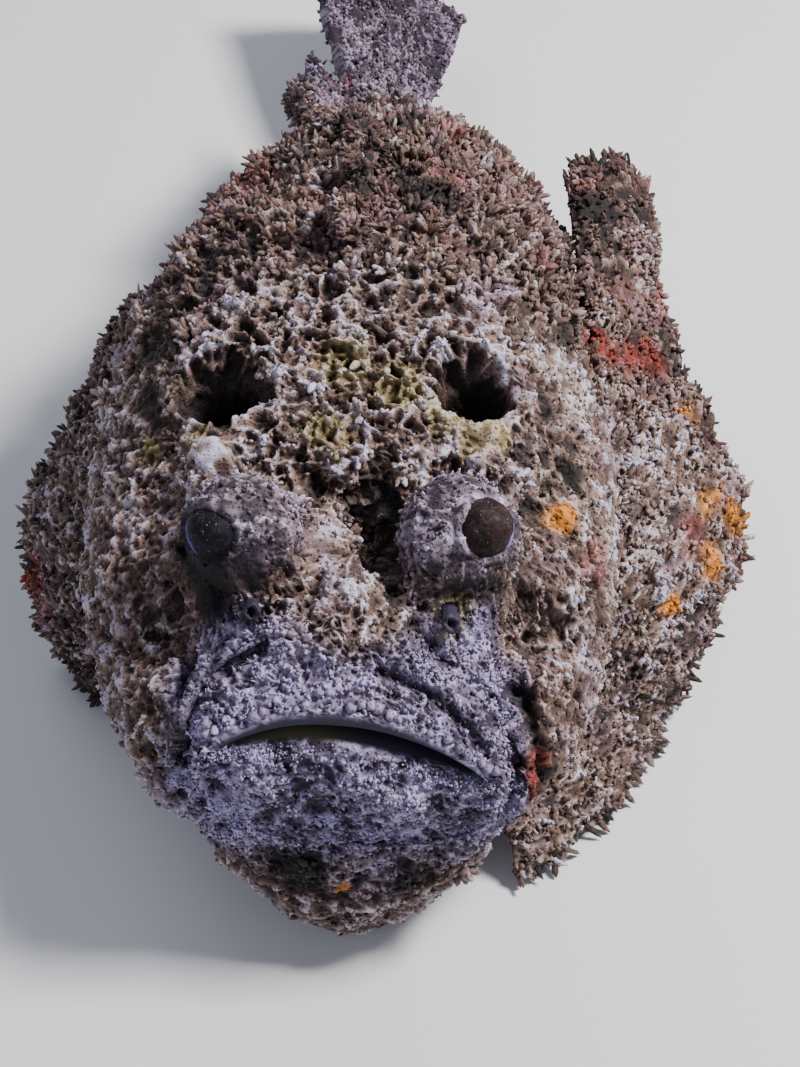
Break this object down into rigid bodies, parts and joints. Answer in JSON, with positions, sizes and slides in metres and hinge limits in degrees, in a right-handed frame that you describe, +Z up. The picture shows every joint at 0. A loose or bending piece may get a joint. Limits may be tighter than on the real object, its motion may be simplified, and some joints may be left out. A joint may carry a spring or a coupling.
{
  "type": "stonefish",
  "caption": "Life-size resting reef stonefish model: warty body, knobbed eyes, downturned upward-facing mouth, broad pectoral fins and a spiny dorsal fin laid back.",
  "frame": {"origin": "on the floor under the belly, 100 mm behind the lips", "axes": "+Z up, -Y the way the fish faces, +X its left side"},
  "size_m": [0.2007, 0.3824, 0.1293],
  "materials": {
    "head_skin": "warty, rough",
    "lower_jaw_skin": "soft, finely papillose",
    "trunk_skin": "warty, rough",
    "tail_skin": "warty, rough",
    "eye_left": "wet gloss",
    "eye_right": "wet gloss",
    "pectoral_fin_left_skin": "fleshy, rayed, rough",
    "pectoral_fin_right_skin": "fleshy, rayed, rough",
    "pelvic_fin_left_skin": "fleshy, rayed",
    "pelvic_fin_right_skin": "fleshy, rayed",
    "dorsal_fin_spiny_skin": "fleshy, rough",
    "dorsal_fin_soft_skin": "fleshy, rayed",
    "anal_fin_skin": "fleshy, rayed",
    "tail_fin_skin": "fleshy, rayed"
  },
  "bodies": {
    "root": {"head": "head_skin", "lower_jaw": "lower_jaw_skin", "trunk": "trunk_skin", "tail": "tail_skin", "eye_left": "eye_left", "eye_right": "eye_right", "pectoral_fin_left": "pectoral_fin_left_skin", "pectoral_fin_right": "pectoral_fin_right_skin", "pelvic_fin_left": "pelvic_fin_left_skin", "pelvic_fin_right": "pelvic_fin_right_skin", "dorsal_fin_spiny": "dorsal_fin_spiny_skin", "dorsal_fin_soft": "dorsal_fin_soft_skin", "anal_fin": "anal_fin_skin", "tail_fin": "tail_fin_skin"}
  },
  "joints": []
}
